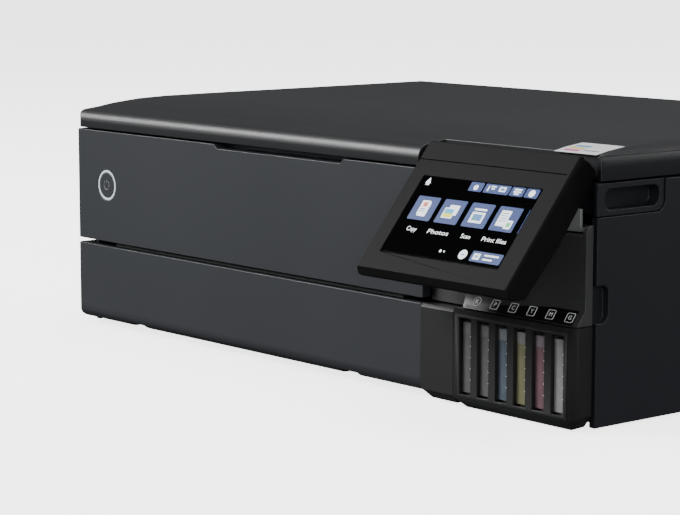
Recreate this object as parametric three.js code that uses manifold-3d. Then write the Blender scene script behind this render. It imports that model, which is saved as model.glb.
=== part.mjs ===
// Wide six-ink photo printer, as an assembly of separate pieces.
// Millimetres, +Z up. Inside the code Y is counted back from the front fascia's face,
// X from the middle of the casing, and Z from the surface that the feet stand on.
import * as THREE from 'three';
import { mergeVertices } from 'three/addons/utils/BufferGeometryUtils.js';
import Module from 'manifold-3d';

const wasm = await Module();
wasm.setup();

// ---------------------------------------------------------------- driving dimensions
const casing = { width: 523, depth: 377, height: 169, wall: 2.5, cornerRadius: 6, bottom: 1.1 };
const gap = 0.4; // running gap between neighbours
const seam = { lid: 147.4, mid: 63.2, grip: 126.9, side: 15.4, unit: 13.6, cutback: 18.2, deepCut: 22.8,
  rear: 348.2 };
const fascia = { right: 126.2, upperRight: 121.6, step: 80.4, bottom: 65, top: 146.7, wall: 2.6,
  cornerRadius: 4 };
const notch = { left: -91.8, right: 49.8, slant: 4.6, floor: 143.7, deep: 11 };
const button = { x: -222.3, z: 107, ringOuter: 11, ringInner: 9.7 };
const cover = { right: 125, top: 61.4, bottom: 4.2, wall: 2.6, roll: 10, pinY: 7.5, pinZ: 9.5 };
const lid = { left: 121.6, notchRight: 258.2, wall: 2.6, rearRadius: 17, leftRadius: 17, rightRadius: 10 };
const scanner = { bottom: 127.4, top: 146.9, front: 20, rear: 347.5, wall: 2.5, gripRear: 72.8,
  gripDepth: 9, hingeX: 214, pivotY: 344, pivotZ: 143 };
const glass = { left: -203, right: 101, front: 62, rear: 286, thick: 2.5 };
const panel = { left: 123.8, right: 256.5, bottom: 66.3, top: 162.4, face: -1.5, thick: 18.4, tilt: 39.4,
  pivotY: 6.5, pivotZ: 149.7 };
const screen = { left: 136.6, right: 240.2, top: 135.7, bottom: 78.9 };
const tank = { count: 6, first: 167.7, pitch: 15.92, width: 14.2, front: 1.6, rear: 98, bottom: 8, top: 78,
  slotWidth: 10.2, slotBottom: 9.6, slotTop: 57.4, recess: 2.3, spoutY: 68, hingeY: 90 };
const bay = { left: 157, right: 260.5, front: -1.8, top: 62.7, bottom: 0.9, wall: 3 };
const shroud = { left: 126.6, upperLeft: 122, step: 81, face: 7.6, rim: 257, top: 116.3, wall: 2.2,
  stripBottom: 63.2, stripTop: 72.6, stripFront: 0.6, stripLeft: 158.4, stripSlant: 3.9 };
const tray = { left: -215, right: 105, thick: 2.4, rear: 250, rim: 48, front: 2.6 };
const cassette = { left: -220, right: 80, front: 15, rear: 330, bottom: 6.4, top: 38, wall: 2 };
const roller = { feedY: 165, ejectY: 100, z: 76, gearTeeth: 24, gearX: -246, gearWide: 6,
  pitchRadius: 16.25 };
const rail = { half: 245, rodY: 185, rodZ: 98, rodRadius: 4 };
const carriage = { parked: 175, width: 76, front: 122, rear: 194, bottom: 84, top: 119, bore: 4.5 };
const belt = { y: 200, z: 103, pulleyX: -226, pulleyRadius: 8 };
const deck = { front: 350.4, under: 142.2, top: 144.7 };
const rearSlot = { half: 175, front: 352, rear: 371.2 };
const support = { half: 54, thick: 1.3, length: 76, lean: 20, y: 373.6 };
const arcSteps = 6;

// ---------------------------------------------------------------- shape helpers
function solidOf(geometry) {
  const bare = geometry.index ? geometry.toNonIndexed() : geometry.clone();
  bare.deleteAttribute('normal');
  bare.deleteAttribute('uv');
  const merged = mergeVertices(bare, 1e-4);
  const vertProperties = new Float32Array(merged.attributes.position.array);
  const triVerts = new Uint32Array(merged.index.array);
  return new wasm.Manifold(new wasm.Mesh({ numProp: 3, vertProperties, triVerts }));
}

function geometryOf(solid) {
  const mesh = solid.getMesh();
  const geometry = new THREE.BufferGeometry();
  geometry.setAttribute('position', new THREE.BufferAttribute(new Float32Array(mesh.vertProperties), 3));
  geometry.setIndex(new THREE.BufferAttribute(new Uint32Array(mesh.triVerts), 1));
  geometry.computeVertexNormals();
  return geometry;
}

const join = (...solids) => solids.reduce((sum, solid) => sum.add(solid));
const cut = (solid, ...tools) => tools.reduce((rest, tool) => rest.subtract(tool), solid);

function box(x0, x1, y0, y1, z0, z1) {
  const geometry = new THREE.BoxGeometry(x1 - x0, y1 - y0, z1 - z0);
  geometry.translate((x0 + x1) / 2, (y0 + y1) / 2, (z0 + z1) / 2);
  return solidOf(geometry);
}

function outline(points) {
  return new THREE.Shape(points.map(([a, b]) => new THREE.Vector2(a, b)));
}

function arc(centreA, centreB, radius, fromDeg, toDeg, steps = arcSteps) {
  const points = [];
  for (let i = 0; i <= steps; i += 1) {
    const angle = THREE.MathUtils.degToRad(fromDeg + ((toDeg - fromDeg) * i) / steps);
    points.push([centreA + radius * Math.cos(angle), centreB + radius * Math.sin(angle)]);
  }
  return points;
}

// rounded rectangle; radii run from the low-low corner anticlockwise
function roundedOutline(a0, a1, b0, b1, radii) {
  const [r0, r1, r2, r3] = Array.isArray(radii) ? radii : [radii, radii, radii, radii];
  const corner = (a, b, r, from) => (r > 0 ? arc(a, b, r, from, from + 90) : [[a, b]]);
  return [
    ...corner(a0 + r0, b0 + r0, r0, 180),
    ...corner(a1 - r1, b0 + r1, r1, 270),
    ...corner(a1 - r2, b1 - r2, r2, 0),
    ...corner(a0 + r3, b1 - r3, r3, 90),
  ];
}

function extrude(points, depth) {
  return new THREE.ExtrudeGeometry(outline(points), { depth, bevelEnabled: false });
}

// outline in Y and Z, swept along X
function alongX(points, x0, x1) {
  const turn = new THREE.Matrix4().set(0, 0, 1, x0, 1, 0, 0, 0, 0, 1, 0, 0, 0, 0, 0, 1);
  return solidOf(extrude(points, x1 - x0).applyMatrix4(turn));
}

// outline in X and Z, swept along Y
function alongY(points, y0, y1) {
  const turn = new THREE.Matrix4().set(1, 0, 0, 0, 0, 0, -1, y1, 0, 1, 0, 0, 0, 0, 0, 1);
  return solidOf(extrude(points, y1 - y0).applyMatrix4(turn));
}

// outline in X and Y, swept along Z
function alongZ(points, z0, z1) {
  return solidOf(extrude(points, z1 - z0).translate(0, 0, z0));
}

function rod(axis, radius, from, to, a, b, sides = 20) {
  const geometry = new THREE.CylinderGeometry(radius, radius, to - from, sides);
  geometry.translate(0, (from + to) / 2, 0);
  if (axis === 'x') {
    geometry.rotateZ(-Math.PI / 2).translate(0, a, b);
  }
  if (axis === 'y') {
    geometry.translate(a, 0, b);
  }
  if (axis === 'z') {
    geometry.rotateX(Math.PI / 2).translate(a, b, 0);
  }
  return solidOf(geometry);
}

// ---------------------------------------------------------------- scene graph
const printer = new THREE.Group();
const finish = {
  satinShell: { color: 0x2d3138, roughness: 0.5, metalness: 0.0 },
  matteBlack: { color: 0x17181a, roughness: 0.6, metalness: 0.0 },
  glossBlack: { color: 0x101114, roughness: 0.25, metalness: 0.0 },
  screenGlass: { color: 0x050608, roughness: 0.08, metalness: 0.0 },
  clearGlass: { color: 0xb8c4c4, roughness: 0.05, metalness: 0.0 },
  lightRing: { color: 0xf4f6ff, roughness: 0.4, metalness: 0.0 },
  steel: { color: 0x9a9da0, roughness: 0.35, metalness: 1.0 },
  greyPlastic: { color: 0x4b4e52, roughness: 0.6, metalness: 0.0 },
  whitePad: { color: 0xe9e9e4, roughness: 0.85, metalness: 0.0 },
  rubber: { color: 0x1b1b1b, roughness: 0.9, metalness: 0.0 },
  tankShell: { color: 0x9ea3a5, roughness: 0.4, metalness: 0.0 },
  board: { color: 0x1f5a3a, roughness: 0.5, metalness: 0.0 },
};

function addPiece(name, solid, look, place = {}) {
  const mesh = new THREE.Mesh(geometryOf(solid), new THREE.MeshStandardMaterial(finish[look]));
  mesh.name = name;
  mesh.position.set(place.x ?? 0, place.y ?? 0, place.z ?? 0);
  (place.parent ?? printer).add(mesh);
  return mesh;
}

const half = casing.width / 2;

// ---------------------------------------------------------------- base, feet, casing
function addFeet() {
  const spread = 225;
  const rows = { front: 45, rear: 345 };
  const foot = solidOf(new THREE.CylinderGeometry(9, 10, 3, 20).rotateX(Math.PI / 2));
  for (const [row, y] of Object.entries(rows)) {
    for (const [side, sign] of [['left', -1], ['right', 1]]) {
      addPiece(`foot_${row}_${side}`, foot, 'rubber', { x: sign * spread, y, z: 1.5 });
    }
  }
}

function addBaseTray() {
  const edge = half - 3;
  const front = 19.8;
  const back = 371;
  const wallTop = 14;
  const floor = box(-edge, edge, front, back, 3.3, 5.8);
  const leftWall = box(-edge, -edge + 2, front, back, 5, wallTop);
  const rightWall = box(edge - 2, edge, 110, back, 5, wallTop);
  const bayWall = box(108, 110.4, 20, 330, 5, 58);
  addPiece('base_tray', join(floor, leftWall, rightWall, bayWall), 'matteBlack');
}

// side wall with its rear corner return, and a notch for the scanner's grip
function sideShell(sign) {
  const { wall, cornerRadius: r } = casing;
  const back = casing.depth;
  const front = seam.side + gap;
  const plan = [
    [half, front],
    ...arc(half - r, back - r, r, 0, 90),
    [half - 12, back],
    [half - 12, back - wall],
    ...arc(half - r, back - r, r - wall, 90, 0),
    [half - wall, front + wall],
    [half - 5, front + wall],
    [half - 5, front],
  ].map(([x, y]) => [sign * x, y]);
  const shell = alongZ(plan, casing.bottom, fascia.top);
  const gripSide = roundedOutline(0, scanner.gripRear + 1.4, seam.grip, fascia.top + 40, [0, 7, 0, 0]);
  const ends = [sign * (half - 30), sign * (half + 5)];
  const [x0, x1] = [Math.min(...ends), Math.max(...ends)];
  const rearStep = box(x0, x1, 338, back + 1, deck.top, fascia.top + 1);
  return cut(shell, alongX(gripSide, x0, x1), rearStep);
}

function addSideCovers() {
  const pocketDeep = 4.6;
  const pocket = alongX(roundedOutline(8, 25.9, 63.9, 86.5, [0, 5, 5, 0]), half - pocketDeep, half + 3);
  const boss = box(half - pocketDeep - 1.6, half - 1, seam.side + gap, 30, 59, 91);
  addPiece('left_side_cover', sideShell(-1), 'satinShell');
  addPiece('right_side_cover', cut(join(sideShell(1), boss), pocket), 'satinShell');
}

function addRearCase() {
  const back = casing.depth;
  const side = half - 12 - gap;
  const wallPlate = box(-side, side, back - casing.wall, back, casing.bottom, deck.top);
  const deckBack = box(-side, side, 360, back, deck.under, deck.top);
  const inner = half - casing.wall - gap;
  const deckPlan = roundedOutline(-inner, inner, deck.front, back - casing.wall - gap, [0, 0, 3.6, 3.6]);
  const deckFront = alongZ(deckPlan, deck.under, deck.top);
  const through = (halfWidth, y0, y1) => box(-halfWidth, halfWidth, y0, y1, deck.under - 2, deck.top + 2);
  const slot = through(rearSlot.half, rearSlot.front, rearSlot.rear);
  const slit = through(support.half + gap, 372, 375.2);
  const jamHole = box(-110, 110, back - 5, back + 1, 32, 118);
  const inletHole = box(186, 216, back - 5, back + 1, 18, 40);
  const portHole = box(-244.6, -227.4, back - 5, back + 1, 26, 70);
  const shell = join(wallPlate, deckBack, deckFront);
  addPiece('rear_case', cut(shell, slot, slit, jamHole, inletHole, portHole), 'satinShell');
}

function addRearJamCover() {
  const back = casing.depth;
  const plate = alongY(roundedOutline(-109.6, 109.6, 32.4, 117.6, 4), back - 2.2, back);
  const tunnel = box(-100, 100, back - 22, back - 2, 36, 66);
  const hollow = box(-97.5, 97.5, back - 25, back - 4.6, 38.5, 63.5);
  addPiece('rear_jam_cover', cut(join(plate, tunnel), hollow), 'matteBlack');
}

// ---------------------------------------------------------------- front fascia and power button
function fasciaPlan(right) {
  const { wall, cornerRadius: r } = fascia;
  return [
    [right, 0],
    [right, 14],
    [right - wall, 14],
    [right - wall, wall],
    ...arc(-half + r, r, r - wall, 270, 180),
    [-half + wall, seam.side - gap],
    [-half, seam.side - gap],
    ...arc(-half + r, r, r, 180, 270),
  ].reverse();
}

function addUpperFascia() {
  const { right, upperRight, step, bottom, top } = fascia;
  const lower = alongZ(fasciaPlan(right), bottom, step);
  const upper = alongZ(fasciaPlan(upperRight), step - 1, top);
  const ledge = box(upperRight - 3, right, 1, 7.2, step - 2.2, step);
  const topFlange = box(-half + 2, upperRight, 1, 15, top - 2.2, top);
  const bottomFlange = box(-half + 2, right, 1, 7.2, bottom, bottom + 2.2);
  const notchFloor = box(notch.left - 3, notch.right + 3, 1, notch.deep + 3, notch.floor - 2.2, top);
  const slopes = [
    [notch.left + notch.slant, notch.floor],
    [notch.right - notch.slant, notch.floor],
    [notch.right, top + 1],
    [notch.left, top + 1],
  ];
  const fingerNotch = alongY(slopes, -1, notch.deep);
  const buttonHole = rod('y', button.ringOuter + gap, -1, 5, button.x, button.z, 36);
  const behindEnd = box(upperRight + 0.1, right + 1, 7.2, 30, bottom - 1, step + 1);
  const shell = cut(join(lower, upper, ledge), behindEnd);
  const solid = cut(join(shell, topFlange, bottomFlange, notchFloor), fingerNotch, buttonHole);
  addPiece('upper_fascia', solid, 'satinShell');
}

function addPowerButton() {
  const { x, z, ringOuter, ringInner } = button;
  const profile = [
    [ringInner, 0.2],
    [ringOuter, 0.2],
    [ringOuter, 3.1],
    [ringOuter + 2.4, 3.1],
    [ringOuter + 2.4, 5.2],
    [ringInner, 5.2],
    [ringInner, 0.2],
  ].map(([r, y]) => new THREE.Vector2(r, y));
  addPiece('button_light_ring', solidOf(new THREE.LatheGeometry(profile, 36)), 'lightRing', { x, z });
  const disc = rod('y', ringInner - gap, 0.1, 3.4, 0, 0, 36);
  const stem = rod('y', 3, 3, 9, 0, 0);
  addPiece('power_button', join(disc, stem), 'satinShell', { x, z });
}

// ---------------------------------------------------------------- front cover, hinged on the drawer
function addFrontCover() {
  const { right, top, bottom, wall, roll } = cover;
  const centre = bottom + roll;
  const side = [
    [0, top],
    ...arc(roll, centre, roll, 180, 270),
    [roll + 2, bottom],
    [roll + 2, bottom + wall],
    ...arc(roll, centre, roll - wall, 270, 180),
    [wall, top - wall],
    [9, top - wall],
    [9, top],
  ];
  const skin = alongX(side, -half, right);
  const cheek = [
    [0.5, top],
    [0.5, centre],
    ...arc(roll, centre, roll - 0.5, 180, 270),
    [seam.side - gap - 2, bottom + 1.4],
    [seam.side - gap, bottom + 4],
    [seam.side - gap, top],
  ];
  const leftCheek = alongX(cheek, -half, -half + wall);
  const rightCheek = alongX(cheek, right - wall, right);
  const footprint = [
    [right, -1],
    [right, 30],
    [-half, 30],
    ...arc(-half + fascia.cornerRadius, fascia.cornerRadius, fascia.cornerRadius, 180, 270),
    [-half + fascia.cornerRadius, -1],
  ];
  const rounding = cut(alongZ(footprint, 0, 80), box(-half + fascia.cornerRadius, right + 1, -2, 0, -1, 81));
  const lugGaps = [cassette.left + 30, cassette.right - 30].map((x) => box(x - 9, x + 9, 3, 20, 0, 20));
  const pinX = [cassette.left + 30, cassette.right - 30];
  const ears = pinX.flatMap((x) => [x - 12, x + 9].map((x0) => box(x0, x0 + 3, 4.4, 11, 6.4, 12.5)));
  const shell = cut(join(skin, leftCheek, rightCheek), ...lugGaps);
  addPiece('front_cover', join(shell, ...ears).intersect(rounding), 'satinShell');
}

function addPaperCassette() {
  const { left, right, front, rear, bottom, top, wall } = cassette;
  const shell = cut(box(left, right, front, rear, bottom, top),
    box(left + wall, right - wall, front + wall, rear - wall, bottom + wall, top + 1));
  const lugs = [left + 30, right - 30].map((x) => {
    const arm = box(x - 8.6, x + 8.6, cover.pinY, front + 1, cover.pinZ - 1.6, cover.pinZ + 1.6);
    return join(arm, rod('x', 1.6, x - 8.6, x + 8.6, cover.pinY, cover.pinZ, 12));
  });
  const slots = [-1, 1].map((sign) => {
    const middle = (left + right) / 2 + sign * 84;
    return box(middle - 34, middle + 34, 176, 184, bottom - 1, bottom + wall + 1);
  });
  addPiece('paper_cassette', cut(join(shell, ...lugs), ...slots), 'greyPlastic');
}

function addCassetteGuides() {
  const middle = (cassette.left + cassette.right) / 2;
  const floor = cassette.bottom + cassette.wall + gap;
  const reach = 105;
  for (const [name, sign] of [['cassette_guide_left', -1], ['cassette_guide_right', 1]]) {
    const inner = middle + sign * (reach + 0.5);
    const outer = inner + sign * 2;
    const baseEnd = inner + sign * 20;
    const wallPart = box(Math.min(inner, outer), Math.max(inner, outer), 120, 240, floor, 34);
    const basePart = box(Math.min(inner, baseEnd), Math.max(inner, baseEnd), 150, 210, floor, floor + 1.8);
    addPiece(name, join(wallPart, basePart), 'matteBlack');
  }
}

function addPhotoCassette() {
  const { left, right, top } = cassette;
  const base = top + gap;
  const wing = box(left + 0.5, right - 0.5, 40, 240, base, base + 2);
  const well = box(-136, -4, 40, 240, base, 56);
  const hollow = box(-134, -6, 42, 238, base + 2, 60);
  addPiece('photo_cassette', cut(join(wing, well), hollow), 'greyPlastic');
}

// ---------------------------------------------------------------- telescoping output tray
function addOutputTrays() {
  const { left, right, thick, rear, rim, front } = tray;
  const stages = ['output_tray', 'output_tray_mid', 'output_tray_end'];
  const floor = seam.mid - thick / 2;
  stages.forEach((name, i) => {
    const inset = i * (rim + gap);
    const back = rear - i * 16;
    const plate = box(left + inset, right - inset, front, back, floor, floor + thick);
    const inner = inset + rim;
    const opening = box(left + inner, right - inner, front - 5, back - 15.5, floor - 1, floor + 4);
    addPiece(name, i < 2 ? cut(plate, opening) : plate, 'matteBlack');
  });
}

// ---------------------------------------------------------------- tank bay, shroud, cover, tanks, caps
function tankX(i) {
  return tank.first + i * tank.pitch;
}

function addTankFrame() {
  const { left, right, front, top, bottom, wall } = bay;
  const back = seam.unit;
  const side = [[front, top], [front, 7.2], [3.4, bottom], [back, bottom + 0.8], [back, top]];
  const plan = [[left, front], [right - 4.8, front], [right, 2.6], [right, back], [left, back]];
  const face = [[left, top], [left, 6.4], [left + 7, bottom], [right - 6, bottom], [right, 9], [right, top]];
  const outer = alongX(side, left - 1, right + 1)
    .intersect(alongZ(plan, bottom - 1, top + 1))
    .intersect(alongY(face, front - 1, back + 1));
  const inside = box(left + wall, right - wall, front + wall, back + 5, bottom + wall + 2, top - 1.8);
  const slots = [];
  for (let i = 0; i < tank.count; i += 1) {
    const x0 = tankX(i) - tank.slotWidth / 2;
    slots.push(box(x0, x0 + tank.slotWidth, front - 1, 4, tank.slotBottom, tank.slotTop));
  }
  addPiece('tank_frame', cut(outer, inside, ...slots), 'matteBlack');
}

function addTankSidePanel() {
  const left = cover.right + 1.2;
  const right = bay.left - gap;
  const back = seam.unit;
  const front = bay.front;
  const side = [[front + 1.8, 62], [front, 60.2], [front, 7.4], [2.5, 2.2], [back, 2.2], [back, 62]];
  const face = [[left, 62], [left, 9.5], [left + 7, 2.2], [right, 2.2], [right, 62]];
  const outer = alongX(side, left, right).intersect(alongY(face, -5, 20));
  const inside = box(left + 2.5, right - 2.5, 1.2, 30, 6, 59.8);
  addPiece('tank_side_panel', cut(outer, inside), 'matteBlack');
}

function addTankShroud() {
  const { left, upperLeft, step, face, rim, top, wall } = shroud;
  const { stripBottom, stripTop, stripFront, stripLeft, stripSlant } = shroud;
  const right = bay.right;
  const rear = seam.unit;
  const sheet = [[face, stripBottom], [face, top], [24, top], [24, top - wall], [face + wall, top - wall],
    [face + wall, stripBottom]];
  // label strip, slanted back from the tank frame to the wall
  const stripSide = [[stripFront, stripBottom], [face, stripTop], [face + 1, stripTop],
    [face + 1, stripBottom]];
  const stripPlan = [
    [stripLeft + stripSlant, stripFront - 0.1],
    [right, stripFront - 0.1],
    [right, face + 1],
    [stripLeft, face + 1],
    [stripLeft, face],
  ];
  const strip = alongX(stripSide, stripLeft - 1, right).intersect(alongZ(stripPlan, 60, 80));
  const radius = 5.5;
  const rimSide = [
    [stripFront, stripBottom],
    [face, stripTop],
    [face, top + 1],
    ...arc(face + radius, top + 1, radius, 180, 90, 8),
    [rear, top + 1 + radius],
    [rear, stripBottom],
  ];
  const skin = alongX(sheet, upperLeft, right - 1);
  const rimBlock = alongX(rimSide, rim, right);
  const leftCheek = box(left, left + wall, face, 24, stripBottom, top);
  const upperCheek = box(upperLeft, upperLeft + wall, face, 24, step, top);
  const corner = box(upperLeft - 1, left, face - 5, 30, stripBottom - 1, step);
  const behindRim = box(254.9, right + 1, rear, 30, stripBottom - 1, top + 8);
  const shell = cut(join(skin, strip, leftCheek, upperCheek), corner, behindRim);
  addPiece('tank_shroud', join(shell, rimBlock), 'glossBlack');
}

function addTankCover() {
  const hingeY = 110;
  const under = shroud.top + 0.8;
  const over = under + 2.2;
  const lip = { front: 16.4, back: 18.6, top: 131 };
  const tip = [hingeY + 2, under + 1.1];
  const side = [[lip.front, lip.top], [lip.front, under], [hingeY, under], tip, [hingeY, over],
    [lip.back, over], [lip.back, lip.top]];
  addPiece('tank_cover', alongX(side, shroud.left, 246.6), 'greyPlastic');
}

function tankSolid() {
  const { width, front, rear, bottom, top, spoutY, hingeY } = tank;
  const w = width / 2;
  const windowTop = tank.slotTop - 2.8;
  const side = [
    ...arc(front + 3, bottom + 3, 3, 270, 180, 2),
    [front, windowTop],
    [19.2, windowTop],
    [19.2, top],
    [rear, top],
    [rear, bottom],
  ];
  const noseHalf = tank.slotWidth / 2 - 0.35;
  const noseFront = bay.front + tank.recess;
  const nose = box(-noseHalf, noseHalf, noseFront, front + 2, tank.slotBottom + 1.2, windowTop);
  const spout = rod('z', 5, top - 1, top + 6, 0, spoutY);
  const filler = rod('z', 3.4, top - 20, top + 7, 0, spoutY, 16);
  const hingeBlock = box(-4, 4, hingeY - 4, hingeY + 2, top - 1, top + 5.4);
  const bodySolid = join(alongX(side, -w, w), nose, spout, hingeBlock);
  return cut(bodySolid, filler);
}

function addTanksAndCaps() {
  const body = tankSolid();
  const capFloor = tank.top + 6.4;
  const lobe = [
    ...arc(0, tank.spoutY, 6.6, 180, 360, 10),
    [5, tank.hingeY],
    [-5, tank.hingeY],
  ];
  const plug = rod('z', 3, capFloor - 4, capFloor + 1, 0, tank.spoutY, 16);
  const lip = box(-4, 4, tank.spoutY - 10, tank.spoutY - 4, capFloor + 1.6, capFloor + 3.4);
  const cap = join(alongZ(lobe, capFloor, capFloor + 3.4), plug, lip);
  for (let i = 0; i < tank.count; i += 1) {
    addPiece(`ink_tank_${i + 1}`, body, 'tankShell', { x: tankX(i) });
    addPiece(`ink_cap_${i + 1}`, cap, 'matteBlack', { x: tankX(i) });
  }
}

// ---------------------------------------------------------------- tilting control panel
function addControlPanel() {
  // built shut and upright round its hinge line, then tilted out to its resting angle
  const hinge = new THREE.Group();
  hinge.position.set(0, panel.pivotY, panel.pivotZ);
  hinge.rotation.x = THREE.MathUtils.degToRad(-panel.tilt);
  printer.add(hinge);
  const y = (value) => value - panel.pivotY;
  const z = (value) => value - panel.pivotZ;
  const front = y(panel.face);
  const back = front + panel.thick;
  const top = z(panel.top);
  const bottom = z(panel.bottom);
  const side = [
    [front, top - 1.5],
    [front, bottom],
    [front + 4.5, bottom - 3.2],
    [front + 8.5, bottom - 1.8],
    [back - 2.6, bottom + 4],
    [back, bottom + 44],
    [back - 2, top - 4.2],
    [back - 4.4, top - 1],
    [front + 2, top],
  ];
  const shell = alongX(side, panel.left, panel.right);
  const bevelPlan = [
    [panel.left, front + 1],
    [panel.left + 1, front],
    [panel.right - 1.8, front],
    [panel.right, front + 2.6],
    [panel.right, back + 1],
    [panel.left, back + 1],
  ];
  const faceOutline = roundedOutline(panel.left, panel.right, bottom - 5, top, [0, 0, 2.5, 5]);
  const outer = shell
    .intersect(alongZ(bevelPlan, bottom - 10, top + 5))
    .intersect(alongY(faceOutline, front - 1, back + 1));
  const screenPocket = box(screen.left, screen.right, front - 1, front + 1.8, z(screen.bottom),
    z(screen.top));
  const inside = box(panel.left + 2.4, panel.right - 2.8, front + 4.2, back + 1, bottom + 7, top - 8);
  addPiece('panel_housing', cut(outer, screenPocket, inside), 'matteBlack', { parent: hinge });
  const rearPlate = box(panel.left + 2.8, panel.right - 3.2, back - 5.4, back - 3.2, bottom + 7.4, top - 8.4);
  const rib = box(panel.left + 30, panel.left + 34, front + 8, back - 5, bottom + 20, top - 30);
  addPiece('panel_back', join(rearPlate, rib), 'matteBlack', { parent: hinge });
  const pane = box(screen.left + 0.3, screen.right - 0.3, front + 0.1, front + 1.4,
    z(screen.bottom) + 0.3, z(screen.top) - 0.3);
  addPiece('touch_screen', pane, 'screenGlass', { parent: hinge });
}

// ---------------------------------------------------------------- scanner unit
function addScannerHousing() {
  const { bottom, top, front, rear, wall, gripRear, gripDepth } = scanner;
  const inner = half - casing.wall - 0.8;
  const floorPlate = box(-inner, inner, front, rear, bottom, top);
  const grips = [-1, 1].map((sign) => {
    const a = sign > 0 ? inner - 1 : -half + 0.4;
    const b = sign > 0 ? half - 0.4 : -inner + 1;
    return alongX(roundedOutline(seam.side + gap, gripRear, bottom, top, [0, 6, 0, 0]), a, b);
  });
  const cavity = box(-inner + wall, inner - wall, front + wall, rear - wall, bottom + wall, top - wall);
  const around = (margin, z0, z1) => box(glass.left - margin, glass.right + margin, glass.front - margin,
    glass.rear + margin, z0, z1);
  const window = around(0, top - wall - 1, top + 1);
  const rebate = around(3, top - glass.thick / 2 - 1, top + 1);
  const hinges = [-scanner.hingeX, scanner.hingeX];
  const hingeGaps = hinges.map((x) => box(x - 12, x + 12, 336, rear + 1, bottom - 1, top + 1));
  const hingePads = hinges.map((x) => box(x - 14.4, x + 14.4, 333, rear, bottom, top));
  const fingers = [-1, 1].map((sign) => {
    const a = sign > 0 ? half - gripDepth : -half - 2;
    const b = sign > 0 ? half + 2 : -half + gripDepth;
    return alongX(roundedOutline(22, gripRear - 4, bottom + 3.4, top - 3.4, 5), a, b);
  });
  const gripBacks = [-1, 1].map((sign) => {
    const a = sign > 0 ? half - gripDepth - 2.4 : -inner;
    const b = sign > 0 ? inner : -half + gripDepth + 2.4;
    return box(a, b, front, gripRear, bottom, top);
  });
  // room behind the raised control panel
  const { left, notchRight } = lid;
  const notchBack = seam.deepCut + 0.6;
  const notch = box(left, notchRight, front - 6, notchBack, bottom - 1, top + 1);
  const notchWalls = join(
    box(left - wall, notchRight, notchBack - 1, notchBack + wall, bottom, top),
    box(left - wall, left + 1, front, notchBack + wall, bottom, top),
  );
  let solid = cut(join(floorPlate, ...grips), cavity);
  solid = join(solid, ...hingePads, ...gripBacks, notchWalls);
  solid = cut(solid, window, rebate, ...hingeGaps, ...fingers, notch);
  addPiece('scanner_housing', solid, 'satinShell');
  addPiece('scanner_glass', around(2.6, top - 2, top - 0.2), 'clearGlass');
  const barBody = box(-200, -182, 64, 284, bottom + wall + 1, top - 5.5);
  const bar = join(barBody, box(-196, -186, 66, 282, top - 6, top - 3.9));
  addPiece('scan_bar', bar, 'matteBlack');
}

function addScannerHinges() {
  const { pivotY, pivotZ } = scanner;
  for (const [name, sign] of [['scanner_hinge_left', -1], ['scanner_hinge_right', 1]]) {
    const x = sign * scanner.hingeX;
    const arm = box(x - 5, x + 5, pivotY - 3, pivotY + 3, 62, pivotZ);
    const flange = box(x - 10, x + 10, pivotY - 3, pivotY + 3, 60, 112);
    const barrel = rod('x', 3.4, x - 11.4, x + 11.4, pivotY, pivotZ, 16);
    addPiece(name, join(arm, flange, barrel), 'steel');
  }
}

function lidProfile() {
  const top = casing.height;
  const bottom = seam.lid + 0.7;
  return [
    [0, bottom],
    [0, 152.5],
    ...arc(9, 152.5, 9, 172, 108),
    [12, 161.8],
    [18, 162.6],
    [30, 164.9],
    [51, 167.4],
    [75, 168.5],
    [110, top],
    ...arc(seam.rear - lid.rearRadius, top - lid.rearRadius, lid.rearRadius, 90, 0),
    [seam.rear, bottom + 3],
    [seam.rear - 3, bottom],
  ];
}

function lidAcross(inset) {
  const top = casing.height + 3 - inset;
  const bottom = seam.lid + 0.7;
  const left = -half + inset;
  const right = half - inset;
  const rl = lid.leftRadius - inset;
  const rr = lid.rightRadius + 3 - inset;
  return [
    [left, bottom - (inset > 0 ? 2 : 0)],
    [right, bottom - (inset > 0 ? 2 : 0)],
    ...arc(right - rr, top - rr - 3, rr, 0, 90),
    ...arc(left + rl, top - rl - 3, rl, 90, 180),
  ];
}

function addDocumentLid() {
  const bottom = seam.lid + 0.7;
  const rearCorner = 12;
  const footprint = roundedOutline(-half, half, 0, seam.rear, [8, 0, rearCorner, rearCorner]);
  const outer = alongX(lidProfile(), -half - 1, half + 1)
    .intersect(alongY(lidAcross(0), -1, seam.rear + 1))
    .intersect(alongZ(footprint, bottom, casing.height + 1));
  const w = lid.wall;
  const core = alongX(lidProfile().map(([y, z]) => [y, z - w]), -half - 1, half + 1)
    .intersect(box(-half + w, half - w, w, seam.rear - w, bottom - 3, casing.height - w))
    .intersect(alongY(lidAcross(w), 0, seam.rear))
    .intersect(alongZ(roundedOutline(-half + w, half - w, w + 1, seam.rear - w, [6, 0, 10, 10]), 0, 200));
  const { left, notchRight } = lid;
  const { cutback, deepCut } = seam;
  const notchFront = box(left, half + 5, -5, cutback, bottom - 5, casing.height + 5);
  const notchBack = box(left, notchRight, -5, deepCut, bottom - 5, casing.height + 5);
  const notchWall = join(
    box(left - w, half, deepCut, deepCut + w, bottom, 164),
    box(notchRight, half, cutback, deepCut + 1, bottom, 164),
    box(left - w, left, 4, deepCut + 1, bottom, 160),
  );
  const shell = join(cut(outer, core), notchWall.intersect(outer));
  addPiece('document_lid', cut(shell, notchFront, notchBack), 'satinShell');
  const padPlan = roundedOutline(glass.left - 8, glass.right + 8, glass.front - 8, glass.rear + 8, 6);
  const pad = alongZ(padPlan, bottom + 0.2, 151);
  const corners = [[-180, 90], [80, 90], [-180, 260], [80, 260]];
  const posts = corners.map(([x, y]) => box(x - 6, x + 6, y - 6, y + 6, 150, 164.6));
  addPiece('lid_pad', join(pad, ...posts), 'whitePad');
}

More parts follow.
